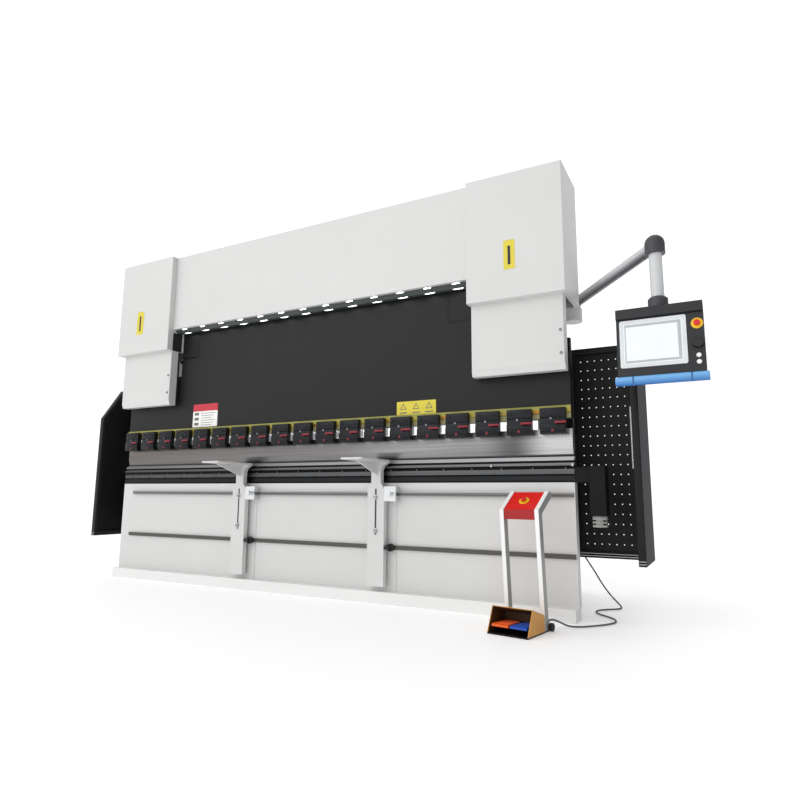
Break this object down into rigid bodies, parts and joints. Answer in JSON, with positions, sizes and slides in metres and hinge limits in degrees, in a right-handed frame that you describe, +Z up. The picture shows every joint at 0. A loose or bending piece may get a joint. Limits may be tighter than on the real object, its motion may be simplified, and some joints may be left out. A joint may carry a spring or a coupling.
{
  "type": "press brake",
  "caption": "Hydraulic press brake with a long bed, a clamped punch under a sliding ram, side fences, front supports, a swinging control pendant and a pedal stand.",
  "frame": {"origin": "on the floor under the bend line, halfway along the bed", "axes": "+X along the bed to the side with the pendant, +Y to the rear, +Z up"},
  "size_m": [5.144, 1.7582, 2.788],
  "materials": {
    "machine_white": "satin white-grey paint",
    "foot_grey": "satin light grey paint",
    "ram_black": "dark paint with a soft sheen",
    "strip_yellow": "olive yellow paint",
    "clamp_black": "blackened steel",
    "lever_red": "dark red plastic",
    "punch_steel": "ground tool steel",
    "rail_steel": "bright ground steel",
    "table_black": "blackened steel",
    "drive_black": "black housing",
    "rod_chrome": "polished",
    "rail_grey": "dull extruded metal",
    "block_steel": "bright machined steel",
    "roller_black": "black rubber",
    "fence_black": "black powder coat",
    "handle_grey": "light grey paint",
    "light_black": "dark paint",
    "tube_grey": "light grey paint",
    "elbow_dark": "dark cast metal",
    "case_grey": "dark grey paint",
    "screen_pale": "pale bezel",
    "grip_blue": "blue paint",
    "button_white": "white plastic",
    "stop_red": "red plastic",
    "dial_black": "black plastic",
    "head_red": "red paint",
    "guard_amber": "amber brown paint",
    "pedal_orange": "orange plastic",
    "pedal_blue": "blue plastic",
    "wheel_black": "black rubber",
    "cable_grey": "dark grey sheath",
    "gland_black": "black plastic"
  },
  "bodies": {
    "machine": {"bed_beam": "machine_white", "bed_foot": "foot_grey", "crowning_table": "table_black", "die_rail": "rail_steel", "lower_die": "rail_steel", "crowning_drive": "drive_black", "side_frames": "machine_white", "cylinders": "ram_black", "cylinder_covers": "machine_white", "cover_skirts": "machine_white", "cover_seals": "roller_black", "centre_cover": "machine_white", "work_light": "light_black", "oil_tank": "ram_black", "rear_ties": "machine_white", "support_rails": "rail_grey", "fence_posts": "fence_black", "arm_base": "tube_grey", "stand_base": "table_black", "stand_legs": "machine_white", "stand_head": "head_red", "pedal_shroud": "guard_amber", "stand_wheels": "wheel_black", "pedal_cable": "cable_grey", "cable_glands": "gland_black"},
    "ram": {"ram_plate": "ram_black", "tool_strip": "strip_yellow", "piston_rods": "rod_chrome", "upper_punch": "punch_steel", "punch_clamps": "clamp_black", "clamp_levers": "lever_red"},
    "left_support_slide": {"left_support": "machine_white", "left_carriage": "block_steel", "left_roller": "roller_black"},
    "right_support_slide": {"right_support": "machine_white", "right_carriage": "block_steel", "right_roller": "roller_black"},
    "left_fence": {"left_fence_door": "fence_black", "left_fence_handle": "handle_grey"},
    "right_fence": {"right_fence_door": "fence_black", "right_fence_handle": "handle_grey"},
    "arm": {"pendant_arm": "tube_grey", "arm_elbow": "elbow_dark"},
    "pendant": {"drop_tube": "tube_grey", "pendant_collar": "elbow_dark", "pendant_case": "case_grey", "pendant_screen": "screen_pale", "pendant_grip": "grip_blue", "pendant_buttons": "button_white"},
    "pendant_stop_button": {"pendant_stop": "stop_red"},
    "pendant_dial_knob": {"pendant_dial": "dial_black"},
    "stand_stop_button": {"stand_stop": "stop_red"},
    "left_foot_pedal": {"left_pedal": "pedal_orange"},
    "right_foot_pedal": {"right_pedal": "pedal_blue"}
  },
  "joints": [
    {"name": "ram_slide", "type": "slide", "parent": "machine", "child": "ram", "axis": [0, 0, 1], "range_m": [0, 0.2]},
    {"name": "left_support_travel", "type": "slide", "parent": "machine", "child": "left_support_slide", "axis": [1, 0, 0], "range_m": [-1.2, 0.45]},
    {"name": "right_support_travel", "type": "slide", "parent": "machine", "child": "right_support_slide", "axis": [1, 0, 0], "range_m": [-0.45, 1.1]},
    {"name": "left_fence_hinge", "type": "hinge", "parent": "machine", "child": "left_fence", "pos_m": [-1.932, 0.385, 1], "axis": [0, 0, -1], "range_deg": [0, 90]},
    {"name": "right_fence_hinge", "type": "hinge", "parent": "machine", "child": "right_fence", "pos_m": [1.932, 0.385, 1], "axis": [0, 0, 1], "range_deg": [0, 90]},
    {"name": "arm_swing", "type": "hinge", "parent": "machine", "child": "arm", "pos_m": [1.93, 0.44, 2.045], "axis": [0, 0, 1], "range_deg": [-3, 60]},
    {"name": "pendant_turn", "type": "hinge", "parent": "arm", "child": "pendant", "pos_m": [2.543, -0.388, 1.9], "axis": [0, 0, 1], "range_deg": [-90, 90]},
    {"name": "pendant_stop_press", "type": "slide", "parent": "pendant", "child": "pendant_stop_button", "axis": [0, 0.998, -0.0635], "range_m": [0, 0.004]},
    {"name": "pendant_dial_turn", "type": "hinge", "parent": "pendant", "child": "pendant_dial_knob", "pos_m": [2.721, -0.44724, 1.481], "axis": [0, -0.998, 0.0635], "continuous": true},
    {"name": "stand_stop_press", "type": "slide", "parent": "machine", "child": "stand_stop_button", "axis": [0.0946, 0.5713, -0.8153], "range_m": [0, 0.004]},
    {"name": "left_pedal_press", "type": "hinge", "parent": "machine", "child": "left_foot_pedal", "pos_m": [1.72359, -0.41251, 0.038], "axis": [0.9866, -0.1633, 0], "range_deg": [0, 8], "stiffness_Nm_per_rad": 8, "springref_deg": -17.19},
    {"name": "right_pedal_press", "type": "hinge", "parent": "machine", "child": "right_foot_pedal", "pos_m": [1.82816, -0.42982, 0.038], "axis": [0.9866, -0.1633, 0], "range_deg": [0, 8], "stiffness_Nm_per_rad": 8, "springref_deg": -17.19}
  ]
}
